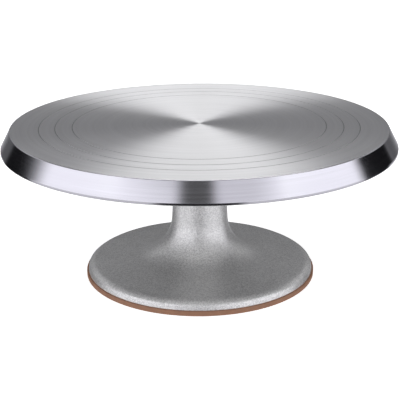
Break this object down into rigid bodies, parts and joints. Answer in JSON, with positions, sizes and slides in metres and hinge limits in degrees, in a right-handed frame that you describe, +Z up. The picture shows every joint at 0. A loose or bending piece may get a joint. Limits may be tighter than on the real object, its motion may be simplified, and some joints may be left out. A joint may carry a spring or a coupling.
{
  "type": "cake turntable",
  "caption": "Round turned aluminium cake turntable with a bevelled rim, spinning freely on a flared hammered-silver pedestal with a rubber pad.",
  "frame": {"origin": "centre of the rubber pad's underside, on the surface it stands on", "axes": "+Z up, along the axis that the plate turns about; the object is round, so +X and +Y are any two square directions"},
  "size_m": [0.305, 0.305, 0.1213],
  "materials": {
    "turned_aluminium": "circular-brushed face, bright turned rim",
    "hammered_silver": "silver hammered paint with a fine sparkle",
    "brown_rubber": "matt brown rubber",
    "black_rubber": "matt black rubber",
    "ground_steel": "ground",
    "bearing_steel": "fine ground",
    "polished_steel": "polished",
    "sheet_steel": "rolled sheet",
    "plated_steel": "bright zinc plate",
    "dark_steel": "black oxide"
  },
  "bodies": {
    "base": {"pedestal": "hammered_silver", "anti_slip_pad": "brown_rubber", "base_cover": "sheet_steel", "cover_screws": "plated_steel", "dust_seal": "black_rubber", "retaining_ring": "dark_steel", "upper_bearing_outer_race": "bearing_steel", "upper_bearing_shields": "sheet_steel", "lower_bearing_outer_race": "bearing_steel", "lower_bearing_shields": "sheet_steel"},
    "turntable": {"turntable_plate": "turned_aluminium", "spindle_flange": "ground_steel", "flange_screws": "dark_steel", "flange_lock_washers": "plated_steel", "spindle": "ground_steel", "bearing_spacer": "ground_steel", "spindle_washer": "plated_steel", "spindle_lock_washer": "plated_steel", "spindle_nut": "plated_steel", "upper_bearing_inner_race": "bearing_steel", "lower_bearing_inner_race": "bearing_steel"},
    "upper_ball_set": {"upper_bearing_balls": "polished_steel", "upper_bearing_cage_top": "sheet_steel", "upper_bearing_cage_bottom": "sheet_steel", "upper_bearing_cage_rivets": "sheet_steel"},
    "lower_ball_set": {"lower_bearing_balls": "polished_steel", "lower_bearing_cage_top": "sheet_steel", "lower_bearing_cage_bottom": "sheet_steel", "lower_bearing_cage_rivets": "sheet_steel"}
  },
  "joints": [
    {"name": "turntable_spin", "type": "hinge", "parent": "base", "child": "turntable", "pos_m": [0, 0, 0.1213], "axis": [0, 0, 1], "continuous": true},
    {"name": "upper_ball_roll", "type": "hinge", "parent": "base", "child": "upper_ball_set", "pos_m": [0, 0, 0.095], "axis": [0, 0, 1], "continuous": true},
    {"name": "lower_ball_roll", "type": "hinge", "parent": "base", "child": "lower_ball_set", "pos_m": [0, 0, 0.051], "axis": [0, 0, 1], "continuous": true}
  ],
  "couplings": [
    {"joint": "upper_ball_roll", "follows": "turntable_spin", "ratio": 0.36471},
    {"joint": "lower_ball_roll", "follows": "turntable_spin", "ratio": 0.36471}
  ]
}
